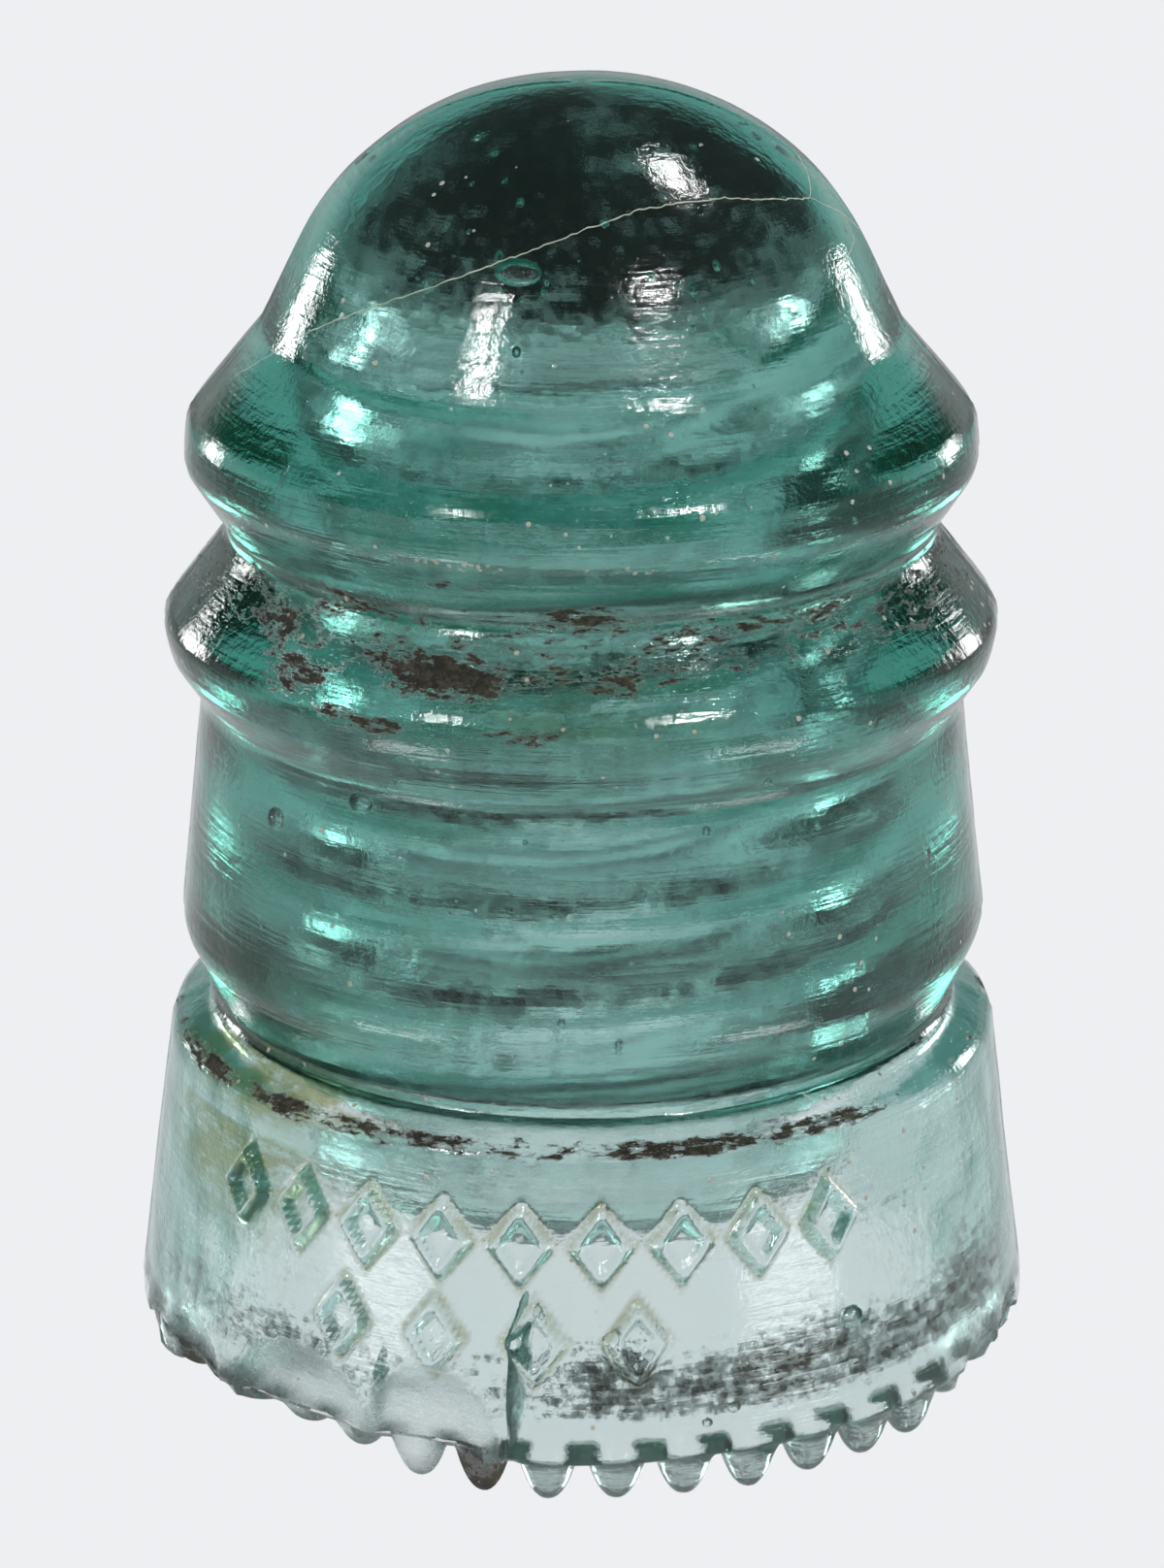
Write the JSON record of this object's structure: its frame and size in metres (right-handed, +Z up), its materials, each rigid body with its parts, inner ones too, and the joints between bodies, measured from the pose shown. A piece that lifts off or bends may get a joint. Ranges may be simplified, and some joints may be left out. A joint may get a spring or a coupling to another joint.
{
  "type": "pin insulator",
  "caption": "Pressed-glass pin insulator with a domed crown, wire grooves, a flared skirt with drip points and a threaded pin hole.",
  "frame": {"origin": "on the axis of the pin hole, in the plane of the drip points' tips, on which the insulator stands", "axes": "+Z up along the axis of the pin hole towards the crown; -Y towards the side of the skirt with the raised lozenges; +X to the right seen from that side"},
  "size_m": [0.06, 0.06, 0.0867],
  "materials": {
    "aqua_glass": "pressed aqua-green glass, glossy and slightly rippled, with seed bubbles and weathering"
  },
  "bodies": {
    "root": {"glass_body": "aqua_glass"}
  },
  "joints": []
}
